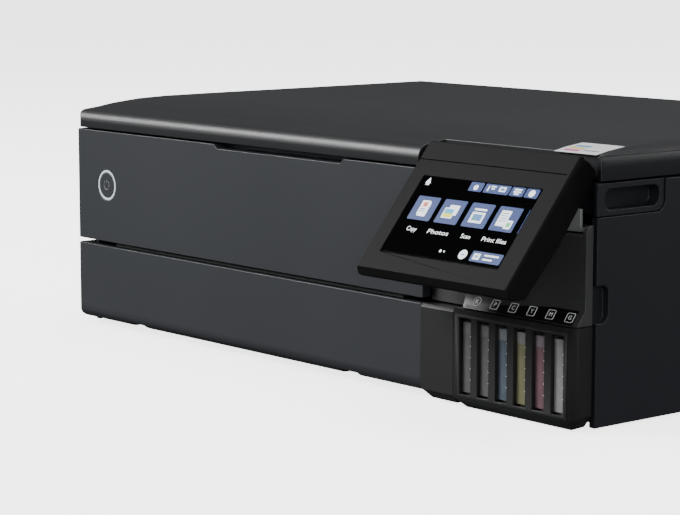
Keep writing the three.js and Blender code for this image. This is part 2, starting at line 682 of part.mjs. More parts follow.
// ---------------------------------------------------------------- print mechanism
function gear(radius, teeth, phase, x0, x1) {
  const addendum = 1.1;
  const dedendum = 1.5;
  const pitchAngle = 360 / teeth;
  const points = [];
  for (let i = 0; i < teeth; i += 1) {
    const middle = (i + phase) * pitchAngle;
    for (const [share, r] of [[-0.34, -dedendum], [-0.12, addendum], [0.12, addendum], [0.34, -dedendum]]) {
      const angle = THREE.MathUtils.degToRad(middle + share * pitchAngle);
      points.push([(radius + r) * Math.cos(angle), (radius + r) * Math.sin(angle)]);
    }
  }
  return alongX(points, x0, x1);
}

function addRollers() {
  const { feedY, ejectY, z, gearTeeth, gearX, gearWide, pitchRadius } = roller;
  const rows = [['feed_roller', feedY, 6], ['eject_roller', ejectY, 5]];
  for (const [name, y, radius] of rows) {
    const shaft = rod('x', 3, gearX - 3, 110, 0, 0, 12);
    const tyres = [];
    for (let i = 0; i < 6; i += 1) {
      const x = -216 + i * 54;
      tyres.push(rod('x', radius, x, x + 30, 0, 0, 16));
    }
    const wheel = gear(pitchRadius, gearTeeth, 0, gearX, gearX + gearWide);
    addPiece(name, join(shaft, wheel, ...tyres), 'rubber', { y, z });
  }
  const wheel = gear(pitchRadius, gearTeeth, 0.5, 0, gearWide);
  const idler = join(wheel, rod('x', 3, -3, gearWide + 3, 0, 0, 12));
  addPiece('idler_gear', idler, 'greyPlastic', { x: gearX, y: (feedY + ejectY) / 2, z });
}

function addPlaten() {
  const plate = box(-236, 96, 109, 156, 70, 80);
  const grooves = [];
  for (let i = 0; i < 5; i += 1) {
    const x = -222 + i * 64;
    grooves.push(box(x, x + 52, 118, 147, 77.5, 81));
  }
  addPiece('platen', cut(plate, ...grooves), 'matteBlack');
}

function addGuideRail() {
  const { half: end, rodY, rodZ, rodRadius } = rail;
  const web = box(-end, end, 206, 208, 66, 121);
  const shelf = box(-end, end, 200, 207, 119, 121);
  const foot = box(-end, end, 207, 222, 66, 68);
  const cheeks = [-1, 1].map((sign) => box(sign * end - 1, sign * end + 1, 180, 207, 86, 121));
  const bar = rod('x', rodRadius, -end, end, rodY, rodZ, 20);
  addPiece('guide_rail', join(web, shelf, foot, ...cheeks, bar), 'steel');
}

function addPrintCarriage() {
  const { width, front, rear, bottom, top, bore } = carriage;
  const side = [[front, bottom], [rear, bottom], [rear, 112], [rear - 8, top], [front + 16, top],
    [front, 106]];
  const block = alongX(side, -width / 2, width / 2);
  const hole = rod('x', bore, -width, width, rail.rodY, rail.rodZ, 20);
  addPiece('print_carriage', cut(block, hole), 'matteBlack', { x: carriage.parked });
}

function addDrivePulley() {
  const shaft = rod('y', 1.6, -4, 5.4, 0, 0, 12);
  const wheel = rod('y', belt.pulleyRadius, -3.4, 3.4, 0, 0, 24);
  addPiece('drive_pulley', join(wheel, shaft), 'steel', { x: belt.pulleyX, y: belt.y - 0.2, z: belt.z });
}

function addInternals() {
  addPiece('maintenance_box', box(166, 250, 130, 225, 8, 46), 'greyPlastic');
  const supply = box(120, 236, 250, 366, 8, 52);
  const inlet = box(187, 215, 360, casing.depth - 0.4, 19, 39);
  const mouth = box(190, 212, casing.depth - 14, casing.depth + 1, 22, 36);
  const pins = [196, 206].map((x) => rod('y', 1.6, casing.depth - 15, casing.depth - 7, x, 29, 10));
  addPiece('power_supply', join(cut(join(supply, inlet), mouth), ...pins), 'greyPlastic');
  const plate = box(-244, -242.4, 230, 360, 16, 110);
  const ports = [[27, 39], [48, 64]].map(([z0, z1]) => {
    const shell = box(-243.6, -228, 352, casing.depth - 0.6, z0, z1);
    return cut(shell, box(-242, -229.6, casing.depth - 12, casing.depth + 1, z0 + 1.6, z1 - 1.6));
  });
  const chips = box(-242.6, -238, 270, 300, 60, 90);
  addPiece('main_board', join(plate, chips, ...ports), 'board');
}

// ---------------------------------------------------------------- rear paper feed
function addRearFeed() {
  const { half: slotHalf, front, rear } = rearSlot;
  const flap = box(-slotHalf + gap, slotHalf - gap, front + gap, rear - gap, deck.under + 0.2, deck.top);
  addPiece('rear_feed_cover', flap, 'satinShell');
  // the support leans back behind the flap, in a slit of its own
  const leaning = new THREE.Group();
  leaning.position.set(0, support.y, deck.top);
  leaning.rotation.x = THREE.MathUtils.degToRad(-support.lean);
  printer.add(leaning);
  const t = support.thick / 2;
  const plate = box(-support.half, support.half, -t, t, -support.length, -0.4);
  const window = box(-support.half + 16, support.half - 16, -3, 3, -support.length + 16, -18);
  addPiece('rear_paper_support', cut(plate, window), 'matteBlack', { parent: leaning });
  const guideX = 117;
  for (const [name, x] of [['rear_guide_left', -guideX], ['rear_guide_right', guideX]]) {
    addPiece(name, box(-1.2, 1.2, 0, 11, 0, 26), 'matteBlack', { x, y: 353, z: 114.4 });
  }
}

addFeet();
addBaseTray();
addSideCovers();
addRearCase();
addRearJamCover();
addUpperFascia();
addPowerButton();
addFrontCover();
addPaperCassette();
addCassetteGuides();
addPhotoCassette();
addOutputTrays();
addTankFrame();
addTankSidePanel();
addTankShroud();
addTankCover();
addTanksAndCaps();
addControlPanel();
addScannerHousing();
addScannerHinges();
addDocumentLid();
addRollers();
addPlaten();
addGuideRail();
addPrintCarriage();
addDrivePulley();
addInternals();
addRearFeed();

// origin: the middle of the resting printer's box, on the surface that it stands on
const extent = new THREE.Box3().setFromObject(printer, true);
printer.position.y = -(extent.min.y + extent.max.y) / 2;
printer.updateMatrixWorld(true);

export default printer;
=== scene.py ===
import bpy
import math
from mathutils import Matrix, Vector


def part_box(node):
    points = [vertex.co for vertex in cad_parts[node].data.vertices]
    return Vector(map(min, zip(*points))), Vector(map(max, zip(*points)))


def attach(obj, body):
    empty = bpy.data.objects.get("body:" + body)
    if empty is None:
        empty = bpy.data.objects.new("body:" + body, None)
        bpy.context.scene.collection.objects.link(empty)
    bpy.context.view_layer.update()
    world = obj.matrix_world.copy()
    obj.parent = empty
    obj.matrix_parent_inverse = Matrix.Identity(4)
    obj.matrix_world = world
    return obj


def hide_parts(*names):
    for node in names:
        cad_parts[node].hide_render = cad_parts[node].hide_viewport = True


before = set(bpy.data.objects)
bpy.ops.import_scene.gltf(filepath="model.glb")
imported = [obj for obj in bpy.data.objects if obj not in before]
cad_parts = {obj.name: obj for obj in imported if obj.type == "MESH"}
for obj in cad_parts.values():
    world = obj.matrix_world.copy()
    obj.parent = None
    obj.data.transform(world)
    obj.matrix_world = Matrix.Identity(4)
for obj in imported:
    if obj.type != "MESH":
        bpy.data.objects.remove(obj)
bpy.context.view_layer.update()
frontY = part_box("upper_fascia")[0].y  # the front face of the casing
mm = 0.001


def at(x, y, z):  # millimetres, with Y counted back from the front face
    return Vector((x * mm, y * mm + frontY, z * mm))


# ---- handling of pieces

def deselectAll():
    if bpy.context.object and bpy.context.object.mode != "OBJECT":
        bpy.ops.object.mode_set(mode="OBJECT")
    bpy.ops.object.select_all(action="DESELECT")


def pickUp(piece):
    deselectAll()
    piece.hide_set(False)
    piece.select_set(True)
    bpy.context.view_layer.objects.active = piece
    return piece


def named(name):
    piece = bpy.context.object
    piece.name = name
    piece.data.name = name
    return settle(piece)


def settle(piece):
    pickUp(piece)
    bpy.ops.object.transform_apply(location=True, rotation=True, scale=True)
    return piece


def modify(piece, kind, **settings):
    pickUp(piece)
    modifier = piece.modifiers.new(kind.lower(), kind)
    for key, value in settings.items():
        setattr(modifier, key, value)
    bpy.ops.object.modifier_apply(modifier=modifier.name)
    return piece


def smooth(piece, degrees=35):
    pickUp(piece)
    bpy.ops.object.shade_smooth_by_angle(angle=math.radians(degrees))
    return piece


def softEdges(piece, width, segments=3, degrees=38):
    modify(piece, "BEVEL", width=width * mm, segments=segments, limit_method="ANGLE",
           angle_limit=math.radians(degrees), use_clamp_overlap=True, harden_normals=False)
    return smooth(piece)


def block(name, x0, x1, y0, y1, z0, z1, soft=0.3, segments=2):
    low, high = at(x0, y0, z0), at(x1, y1, z1)
    deselectAll()
    bpy.ops.mesh.primitive_cube_add(size=1, location=(low + high) / 2, scale=high - low)
    piece = named(name)
    return softEdges(piece, soft, segments) if soft else piece


def rod(name, axis, radius, centre, length, soft=0.3, sides=40):
    turn = {"x": (0, math.pi / 2, 0), "y": (math.pi / 2, 0, 0), "z": (0, 0, 0)}[axis]
    deselectAll()
    bpy.ops.mesh.primitive_cylinder_add(vertices=sides, radius=radius * mm, depth=length * mm,
                                        location=centre, rotation=turn)
    piece = named(name)
    return softEdges(piece, soft, 2) if soft else piece


def cadCopy(node, soft, segments=3, degrees=38, dissolve=True):  # a frame node with rounded edges
    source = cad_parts[node]
    piece = source.copy()
    piece.data = source.data.copy()
    for key in list(piece.keys()):
        del piece[key]
    piece.parent = None
    piece.name = piece.data.name = node + "_skin"
    bpy.context.scene.collection.objects.link(piece)
    piece.data.materials.clear()
    pickUp(piece)
    bpy.ops.object.mode_set(mode="EDIT")
    bpy.ops.mesh.select_all(action="SELECT")
    bpy.ops.mesh.remove_doubles(threshold=0.00002)
    if dissolve:
        bpy.ops.mesh.dissolve_limited(angle_limit=math.radians(0.8))
    bpy.ops.mesh.normals_make_consistent(inside=False)
    bpy.ops.object.mode_set(mode="OBJECT")
    if soft:
        modify(piece, "BEVEL", width=soft * mm, segments=segments, limit_method="ANGLE",
               angle_limit=math.radians(degrees), use_clamp_overlap=False, miter_outer="MITER_ARC")
    return reshade(piece)


def reshade(piece):  # flat faces stay flat between rounded edges
    smooth(piece)
    return modify(piece, "WEIGHTED_NORMAL", keep_sharp=True, weight=90)


def carve(piece, *cutters):
    for cutter in cutters:
        modify(piece, "BOOLEAN", object=cutter, operation="DIFFERENCE", solver="EXACT")
        bpy.data.objects.remove(cutter)
    return piece


def merge(name, pieces):
    deselectAll()
    for piece in pieces:
        piece.select_set(True)
    bpy.context.view_layer.objects.active = pieces[0]
    bpy.ops.object.join()
    return named(name)


def turnAbout(piece, degrees, centre, axis="X"):
    pickUp(piece)
    bpy.ops.object.mode_set(mode="EDIT")
    bpy.ops.mesh.select_all(action="SELECT")
    bpy.ops.transform.rotate(value=-math.radians(degrees), orient_axis=axis, center_override=centre)
    bpy.ops.object.mode_set(mode="OBJECT")
    return piece


def wording(name, text, size, place, thick=0.02, lean=0, wide=0):  # flat lettering that faces the front
    deselectAll()
    bpy.ops.object.text_add(location=place, rotation=(math.radians(90 - lean), 0, 0))
    words = bpy.context.object
    words.data.body = text
    words.data.size = size * mm
    words.data.extrude = thick * mm
    words.data.align_x = "CENTER"
    words.data.align_y = "CENTER"
    bpy.ops.object.convert(target="MESH")
    piece = named(name)
    if wide:  # stretched or squeezed to a given width
        spread = [vertex.co.x for vertex in piece.data.vertices]
        middle, share = (max(spread) + min(spread)) / 2, wide * mm / (max(spread) - min(spread))
        for vertex in piece.data.vertices:
            vertex.co.x = place.x + (vertex.co.x - middle) * share
    return piece


def outline(name, place, half, corner, stroke, lean):  # a thin rounded square drawn on a leaning face
    rise = Vector((0, math.sin(math.radians(lean)), math.cos(math.radians(lean))))
    points = []
    for turn in range(4):
        sx, sz = ((1, 1), (-1, 1), (-1, -1), (1, -1))[turn]
        for step in range(7):
            angle = math.radians(turn * 90 + step * 15)
            across = sx * (half - corner) + corner * math.cos(angle)
            up = sz * (half - corner) + corner * math.sin(angle)
            points.append(place + Vector((across * mm, 0, 0)) + rise * up * mm)
    curve = bpy.data.curves.new(name, "CURVE")
    curve.dimensions = "3D"
    line = curve.splines.new("POLY")
    line.points.add(len(points) - 1)
    for spot, point in zip(line.points, points):
        spot.co = (*point, 1)
    line.use_cyclic_u = True
    curve.bevel_depth = stroke * mm
    curve.bevel_resolution = 1
    piece = bpy.data.objects.new(name, curve)
    bpy.context.scene.collection.objects.link(piece)
    pickUp(piece)
    bpy.ops.object.convert(target="MESH")
    return named(name)


def hand(piece, body, slotName, finish, *nodes):  # gives a piece its body, finish and stand-in nodes
    piece.data.materials.clear()
    piece.data.materials.append(finish)
    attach(piece, body)
    if nodes:
        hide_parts(*nodes)
    return piece


# ---- shader maths

class Signal:
    def __init__(self, finish, socket):
        self.finish = finish
        self.socket = socket

    def maths(self, operation, first, second=0.0):
        return self.finish.node("Math", {"operation": operation}, {0: first, 1: second})

    def __add__(self, other):
        return self.maths("ADD", self, other)

    def __mul__(self, other):
        return self.maths("MULTIPLY", self, other)

    def over(self, edge, blur):  # 0 below the edge, 1 above it
        return self.finish.node("MapRange", {"clamp": True}, {
            "Value": self, "From Min": edge - blur, "From Max": edge + blur, "To Min": 0.0, "To Max": 1.0})


class Finish:
    def __init__(self, name, colour, roughness, **fixed):
        self.material = bpy.data.materials.new(name)
        self.material.use_nodes = True
        self.tree = self.material.node_tree
        self.shader = self.tree.nodes["Principled BSDF"]
        self.put("Base Color", (*colour, 1))
        self.put("Roughness", roughness)
        for key, value in fixed.items():
            self.put(key.replace("_", " "), value)
        self.coords = self.node("TexCoord", output="Object")

    def node(self, kind, settings=None, inputs=None, output=0):
        made = self.tree.nodes.new("ShaderNode" + kind)
        for key, value in (settings or {}).items():
            if key == "stops":
                ramp = made.color_ramp
                while len(ramp.elements) < len(value):
                    ramp.elements.new(0.5)
                for element, (place, tone) in zip(ramp.elements, value):
                    element.position = place
                    element.color = (*tone, 1)
            else:
                setattr(made, key, value)
        for key, value in (inputs or {}).items():
            self.plug(made.inputs[key], value)
        return Signal(self, made.outputs[output])

    def plug(self, socket, value):
        if isinstance(value, Signal):
            self.tree.links.new(value.socket, socket)
        else:
            socket.default_value = value

    def put(self, name, value):
        self.plug(self.shader.inputs[name], value)
        return self

    def noise(self, scale, detail=2.0, stretch=(1, 1, 1)):
        spread = self.node("Mapping", {}, {"Vector": self.coords, "Scale": stretch})
        return self.node("TexNoise", {}, {"Vector": spread, "Scale": scale, "Detail": detail})

    def blend(self, amount, first, second):
        return self.node("Mix", {"data_type": "RGBA"}, {0: amount, 6: first, 7: second}, 2)

    def bump(self, height, distance, strength=1.0):
        return self.put("Normal", self.node("Bump", {}, {
            "Height": height, "Distance": distance * mm, "Strength": strength}))

    def axis(self, letter):
        return self.node("SeparateXYZ", {}, {0: self.coords}, letter)


def tone(colour, factor):
    return tuple(c * factor for c in colour) + (1,)


def mouldedFinish(name, colour, roughness, grain, depth, **fixed):  # plastic with a spark-eroded grain
    finish = Finish(name, colour, roughness, **fixed)
    speckle = finish.noise(grain, 3.0)
    cloud = finish.noise(9.0, 2.0)
    shade = speckle * 0.6 + cloud * 0.4
    finish.put("Base Color", finish.blend(shade, tone(colour, 0.86), tone(colour, 1.14)))
    finish.put("Roughness", speckle * 0.1 + cloud * 0.06 + (roughness - 0.08))
    finish.bump(speckle, depth)
    return finish.material


def metalFinish(name, colour, roughness, stretch):
    finish = Finish(name, colour, roughness, Metallic=1.0)
    brushed = finish.noise(900.0, 2.0, stretch)
    finish.put("Base Color", finish.blend(brushed, tone(colour, 0.8), tone(colour, 1.1)))
    finish.put("Roughness", brushed * 0.2 + (roughness - 0.1))
    finish.bump(brushed, 0.01)
    return finish.material


def plainFinish(name, colour, roughness=0.4, glow=0.0):  # printed ink and lit marks, mottled very slightly
    finish = Finish(name, colour, roughness)
    mottle = finish.noise(700.0)
    shade = finish.blend(mottle, tone(colour, 0.93), tone(colour, 1.05))
    finish.put("Base Color", shade)
    if glow:
        finish.put("Emission Color", shade).put("Emission Strength", glow)
    return finish.material


casingTone = (0.033, 0.0355, 0.04)
satin = mouldedFinish("satin_casing", casingTone, 0.42, 2600.0, 0.012)
# painted shade: the lid is the casing's satin plastic, given a much darker colour to stand in for the shade
# on its top
lidShadedSatin = mouldedFinish("satin_lid_painted_shade", (0.009, 0.0097, 0.0112), 0.42, 2600.0, 0.012)
# painted shade: the side covers, rear case, scanner housing and rear feed cover are the casing's satin
# plastic, given a darker colour to stand in for the shade on the sides
sideShadedSatin = mouldedFinish("satin_side_painted_shade", (0.014, 0.0155, 0.02), 0.46, 2600.0, 0.014)
matteBlack = mouldedFinish("matte_black", (0.012, 0.012, 0.0122), 0.5, 2200.0, 0.02)
# painted shade: the control panel is the matte black plastic, given a darker colour to stand in for shade on
# its upturned face
panelShadedBlack = mouldedFinish("panel_black_painted_shade", (0.0055, 0.0055, 0.0057), 0.6, 2200.0, 0.015,
                           Specular_IOR_Level=0.1)
# painted light: the tank shroud's colour is made lighter than the other black plastics, to stand in for light
# it does not catch
glossBlackLit = mouldedFinish("gloss_black", (0.05, 0.05, 0.051), 0.42, 1200.0, 0.002, Coat_Weight=0.12,
                           Coat_Roughness=0.25)
greyPlastic = mouldedFinish("grey_plastic", (0.075, 0.08, 0.085), 0.5, 1800.0, 0.02)
labelBlack = mouldedFinish("label_black", (0.006, 0.006, 0.006), 0.4, 1500.0, 0.003)
# painted light: the tank cover is the grey plastic, given a much lighter colour to stand in for light it does
# not catch where it sits
greyPlasticLit = mouldedFinish("grey_plastic_painted_light", (0.3, 0.305, 0.31), 0.5, 1800.0, 0.02)
whiteFoam = mouldedFinish("white_foam", (0.72, 0.72, 0.69), 0.8, 3000.0, 0.05)
rubber = mouldedFinish("rubber", (0.02, 0.02, 0.02), 0.75, 2400.0, 0.03)
steel = metalFinish("steel", (0.5, 0.51, 0.52), 0.35, (0.05, 1, 1))
boardGreen = mouldedFinish("circuit_board", (0.02, 0.11, 0.06), 0.4, 500.0, 0.02)
ringLight = plainFinish("ring_light", (0.62, 0.68, 0.78), 0.4, 0.55)
# painted light: the printed marks glow a little to look brighter, though the print is no lamp
labelInkLit = plainFinish("label_ink_painted_light", (0.78, 0.79, 0.8), 0.5, 0.25)
screenWhite = plainFinish("screen_white", (0.8, 0.83, 0.86), 0.4, 0.8)
screenBlue = plainFinish("screen_blue", (0.008, 0.03, 0.14), 0.4, 0.55)
print("finishes made")


# ---- casing

shells = {
    "document_lid": ("document_lid", lidShadedSatin, "satin_casing", 0.5),
    "upper_fascia": ("casing", satin, "satin_casing", 0.45),
    "front_cover": ("front_cover", satin, "satin_casing", 0.45),
    "left_side_cover": ("casing", sideShadedSatin, "satin_casing", 0.5),
    "right_side_cover": ("casing", sideShadedSatin, "satin_casing", 0.5),
    "rear_case": ("casing", sideShadedSatin, "satin_casing", 0.4),
    "scanner_housing": ("scanner_unit", sideShadedSatin, "satin_casing", 0.4),
    "rear_feed_cover": ("rear_feed_cover", sideShadedSatin, "satin_casing", 0.5),
    "rear_jam_cover": ("rear_jam_cover", matteBlack, "matte_black", 0.5),
    "tank_frame": ("casing", matteBlack, "matte_black", 0),
    "tank_side_panel": ("casing", matteBlack, "matte_black", 0.4),
    "tank_shroud": ("casing", glossBlackLit, "gloss_black", 0.4),
    "tank_cover": ("tank_cover", greyPlasticLit, "grey_plastic", 0.4),
    "panel_housing": ("control_panel", panelShadedBlack, "matte_black", 0.5),
    "panel_back": ("control_panel", matteBlack, "matte_black", 0.4),
    "output_tray": ("output_tray", matteBlack, "matte_black", 0.5),
    "output_tray_mid": ("output_tray_mid", matteBlack, "matte_black", 0.5),
    "output_tray_end": ("output_tray_end", matteBlack, "matte_black", 0.5),
    "paper_cassette": ("paper_drawer", greyPlastic, "grey_plastic", 0.4),
    "photo_cassette": ("photo_cassette", greyPlastic, "grey_plastic", 0.4),
    "cassette_guide_left": ("cassette_guide_left", matteBlack, "matte_black", 0.4),
    "cassette_guide_right": ("cassette_guide_right", matteBlack, "matte_black", 0.4),
    "power_button": ("power_button", satin, "satin_casing", 0.4),
    "button_light_ring": ("casing", ringLight, "light_ring", 0.15),
    "print_carriage": ("print_carriage", matteBlack, "matte_black", 0.8),
    "maintenance_box": ("casing", greyPlastic, "grey_plastic", 0.8),
    "power_supply": ("casing", greyPlastic, "grey_plastic", 0.5),
    "lid_pad": ("document_lid", whiteFoam, "white_pad", 0.6),
    "rear_paper_support": ("rear_paper_support", matteBlack, "matte_black", 0.3),
    "rear_guide_left": ("rear_guide_left", matteBlack, "matte_black", 0.3),
    "rear_guide_right": ("rear_guide_right", matteBlack, "matte_black", 0.3),
}
skins = {}
for node, (body, finish, slotName, soft) in shells.items():
    skins[node] = hand(cadCopy(node, soft, dissolve=soft > 0), body, slotName, finish, node)
print("casing shells softened")

bareNodes = {
    "steel": (steel, ["scanner_hinge_left", "scanner_hinge_right", "guide_rail", "drive_pulley"]),
    "rubber": (rubber, ["foot_front_left", "foot_front_right", "foot_rear_left", "foot_rear_right",
                        "feed_roller", "eject_roller"]),
    "black": (matteBlack, ["base_tray", "scan_bar", "platen"]),
    "grey": (greyPlastic, ["idler_gear"]),
    "board": (boardGreen, ["main_board"]),
}
for finish, nodes in bareNodes.values():
    for node in nodes:
        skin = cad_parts[node]
        skin.data.materials.clear()
        skin.data.materials.append(finish)

bedGlass = Finish("bed_glass", (0.05, 0.06, 0.06), 0.03, Coat_Weight=0.5)
bedGlass.put("Roughness", bedGlass.noise(40.0) * 0.03 + 0.02)
hand(cadCopy("scanner_glass", 0.2), "scanner_unit", "platen_glass", bedGlass.material, "scanner_glass")


# ---- control panel: made shut and upright, then turned out to its rest

panelTilt = 39.4
panelHinge = at(0, 6.5, 149.7)
grooveZ = 147.3


def onPanel(x, below, lift=0.0):  # below the groove, in front of the face
    return at(x, -1.5 - lift, grooveZ - below)


def tiltOut(piece):
    return turnAbout(piece, -panelTilt, panelHinge)


def tile(name, x0, x1, t0, t1, corner=0.8, lift=0.0, thick=0.1):
    deselectAll()
    low, high = onPanel(x0, t1, lift), onPanel(x1, t0, lift)
    low.y += thick * mm
    size = Vector((high.x - low.x, thick * mm, high.z - low.z))
    bpy.ops.mesh.primitive_cube_add(size=1, location=(low + high) / 2, scale=size)
    piece = named(name)
    bpy.ops.object.mode_set(mode="EDIT")
    bpy.ops.mesh.select_mode(type="EDGE")
    bpy.ops.mesh.select_all(action="DESELECT")
    bpy.ops.object.mode_set(mode="OBJECT")
    for edge in piece.data.edges:  # the four short edges at the corners
        a, b = (piece.data.vertices[i].co for i in edge.vertices)
        edge.select = abs(a.y - b.y) > thick * mm * 0.5
    bpy.ops.object.mode_set(mode="EDIT")
    if corner:
        bpy.ops.mesh.bevel(offset=corner * mm, segments=5)
    bpy.ops.object.mode_set(mode="OBJECT")
    return piece


def disc(name, x, t, radius, lift=0.0, thick=0.1, sides=24):
    return rod(name, "y", radius, onPanel(x, t, lift - thick / 2), thick, 0, sides)


pane = cadCopy("touch_screen", 0.15)
screenGlass = Finish("screen_glass", (0.0006, 0.0006, 0.0008), 0.08, Specular_IOR_Level=0.08)
screenGlass.put("Roughness", screenGlass.noise(60.0) * 0.05 + 0.06)
hand(pane, "control_panel", "screen_glass", screenGlass.material, "touch_screen")

screen = {
    "glassLift": -0.05,
    "bigTiles": [(143.2, 163.0), (167.3, 186.9), (191.3, 210.9), (215.0, 234.4)],
    "smallTiles": [(180.6, 192.0), (193.6, 215.0), (216.0, 227.2), (228.4, 239.2)],
}
up = screen["glassLift"] + 0.03
iconUp = up + 0.03
blues = [tile("tile", a, b, 26.3, 43.5, 0.9, up) for a, b in screen["bigTiles"]]
blues += [tile("tile", a, b, 12.2, 18.7, 0.9, up) for a, b in screen["smallTiles"]]
blues += [tile("tile", 213.6, 239.2, 58.6, 65.9, 0.9, up), tile("tile", 239.6, 240.0, 26.4, 43.4, 0, up)]
hand(tiltOut(merge("screen_tiles", blues)), "control_panel", "screen_glass", screenBlue)

whites = [
    tile("icon", 142.3, 145.3, 15.9, 18.3, 0.2, iconUp),
    disc("icon", 143.8, 15.4, 2.7, iconUp, 0.1, 3),
    tile("icon", 148.9, 156.0, 29.2, 39.6, 0.4, iconUp),
    tile("icon", 150.0, 157.0, 30.2, 40.6, 0.4, iconUp - 0.01),
    tile("icon", 174.2, 182.6, 30.0, 37.2, 0.4, iconUp),
    tile("icon", 171.0, 180.2, 32.2, 39.6, 0.4, iconUp + 0.01),
    tile("icon", 195.4, 206.4, 32.6, 40.2, 0.3, iconUp),
    tile("icon", 195.6, 206.0, 30.0, 31.4, 0.3, iconUp),
    tile("icon", 218.4, 226.6, 29.0, 40.0, 0.3, iconUp),
    tile("icon", 226.0, 231.6, 35.4, 41.4, 0.5, iconUp + 0.01),
    disc("icon", 187.0, 62.2, 1.0, iconUp),
    disc("icon", 190.2, 62.2, 0.6, iconUp),
    disc("icon", 206.6, 62.3, 3.3, iconUp, 0.1, 32),
    tile("icon", 215.6, 221.0, 60.2, 64.4, 0.3, iconUp),
    disc("icon", 186.3, 15.9, 1.9, iconUp),
    disc("icon", 233.8, 15.5, 2.5, iconUp, 0.1, 32),
    tile("icon", 196.4, 197.4, 13.6, 17.4, 0.2, iconUp),
    tile("icon", 198.6, 203.0, 13.4, 14.3, 0.2, iconUp),
    tile("icon", 199.4, 202.2, 15.0, 15.9, 0.2, iconUp),
    tile("icon", 206.0, 211.6, 13.4, 16.8, 0.3, iconUp),
    tile("icon", 218.4, 224.8, 13.4, 14.5, 0.2, iconUp),
    tile("icon", 218.4, 224.8, 15.1, 16.1, 0.2, iconUp),
    tile("icon", 219.6, 223.6, 16.7, 17.6, 0.2, iconUp),
    tile("icon", 224.0, 236.0, 60.2, 61.3, 0.3, iconUp),
    tile("icon", 224.0, 232.0, 63.0, 64.1, 0.3, iconUp),
]
captions = [("Copy", 148.5, 157.2), ("Photos", 167.3, 185.5), ("Scan", 196.7, 204.7),
            ("Print files", 214.7, 235.3)]
for text, x0, x1 in captions:
    whites.append(wording("icon", text, 4.4, onPanel((x0 + x1) / 2, 50.2, iconUp), 0.02, 0, x1 - x0))
hand(tiltOut(merge("screen_icons", whites)), "control_panel", "screen_glass", screenWhite)

accents = {
    "screen_sky": ((0.03, 0.32, 0.55), [(171.8, 179.4, 33.0, 36.2)]),
    "screen_field": ((0.62, 0.6, 0.03), [(171.8, 179.4, 36.0, 38.8)]),
    "screen_photo": ((0.5, 0.12, 0.05), [(150.8, 154.4, 30.4, 33.6)]),
    "screen_ink": ((0.06, 0.16, 0.35), [(150.0, 154.6, 35.0, 35.7), (150.0, 154.6, 36.6, 37.3),
                                       (197.0, 204.8, 34.0, 38.6), (219.6, 225.2, 30.6, 31.2),
                                       (219.6, 225.2, 32.4, 33.0), (219.6, 225.2, 34.2, 34.8),
                                       (219.6, 225.2, 36.0, 36.6), (217.2, 219.4, 61.4, 63.0),
                                       (205.2, 208.0, 61.8, 62.8), (207.2, 210.6, 14.2, 16.0)]),
    "screen_leaf": ((0.08, 0.38, 0.16), [(227.2, 230.4, 37.0, 40.0), (198.0, 200.4, 36.8, 38.6)]),
}
for name, (colour, spots) in accents.items():
    dabs = [tile("dab", a, b, t0, t1, 0.2, iconUp + 0.02) for a, b, t0, t1 in spots]
    hand(tiltOut(merge(name, dabs)), "control_panel", "screen_glass", plainFinish(name, colour, 0.4, 0.75))

groove = block("panel_groove", 123.4, 252.6, -1.56, -0.6, grooveZ - 0.35, grooveZ + 0.35, 0)
tiltOut(groove)
carve(skins["panel_housing"], groove)
reshade(skins["panel_housing"])
print("control panel made")


# ---- power button glyph

glyphShape = {"x": -222.3, "z": 107, "radius": 3.3, "line": 0.22}
deselectAll()
bpy.ops.mesh.primitive_torus_add(
    major_radius=glyphShape["radius"] * mm, minor_radius=glyphShape["line"] * mm, major_segments=40,
    minor_segments=8, location=at(glyphShape["x"], 0.1, glyphShape["z"]), rotation=(math.pi / 2, 0, 0))
glyphRing = named("glyph_ring")
gapCut = block("glyph_gap", glyphShape["x"] - 1.2, glyphShape["x"] + 1.2, -2, 2, 108.5, 112, 0)
carve(glyphRing, gapCut)
glyphBar = block("glyph_bar", glyphShape["x"] - 0.2, glyphShape["x"] + 0.2, -0.1, 0.3, 108.0, 111.4, 0.1)
glyph = merge("power_glyph", [glyphRing, glyphBar])
hand(smooth(glyph), "power_button", "satin_casing", plainFinish("glyph_ink", (0.2, 0.21, 0.23), 0.5))


# ---- ink tanks, caps, marks and label strip

tankRow = {"first": 167.7, "pitch": 15.92, "window": 5.1, "low": 9.6, "high": 57.4,
           "ticks": (19, 26, 33, 40, 46)}
strip = {"y": 4.1, "z": 67.9, "lean": math.degrees(math.atan2(7.0, 9.4)), "left": 164, "right": 256}
inks = {
    "ink_black": (0.11, 0.11, 0.11),
    "ink_photo_black": (0.112, 0.112, 0.113),
    "ink_cyan": (0.095, 0.118, 0.15),
    "ink_yellow": (0.19, 0.185, 0.105),
    "ink_magenta": (0.175, 0.095, 0.115),
    "ink_grey": (0.27, 0.27, 0.27),
}
empties = [(0.15, 0.15, 0.15), (0.16, 0.16, 0.16), (0.21, 0.23, 0.25), (0.24, 0.25, 0.24), (0.23, 0.2, 0.22),
           (0.28, 0.28, 0.28)]
inkLevel = 48.2 * mm


def tankFinish(name, ink, empty):
    finish = Finish(name, ink, 0.35, Coat_Weight=0.35, Coat_Roughness=0.2)
    wave = finish.noise(500.0, 3.0, (1, 1, 0.35))
    full = finish.blend(wave, tone(ink, 0.72), tone(ink, 1.3))
    clear = finish.blend(wave, tone(empty, 0.75), tone(empty, 1.25))
    level = (finish.axis("Z") + wave * 0.0006).over(inkLevel, 0.0007)
    finish.put("Base Color", finish.blend(level, full, clear))
    finish.put("Roughness", wave * 0.25 + 0.25)
    finish.bump(wave, 0.03)
    return finish.material


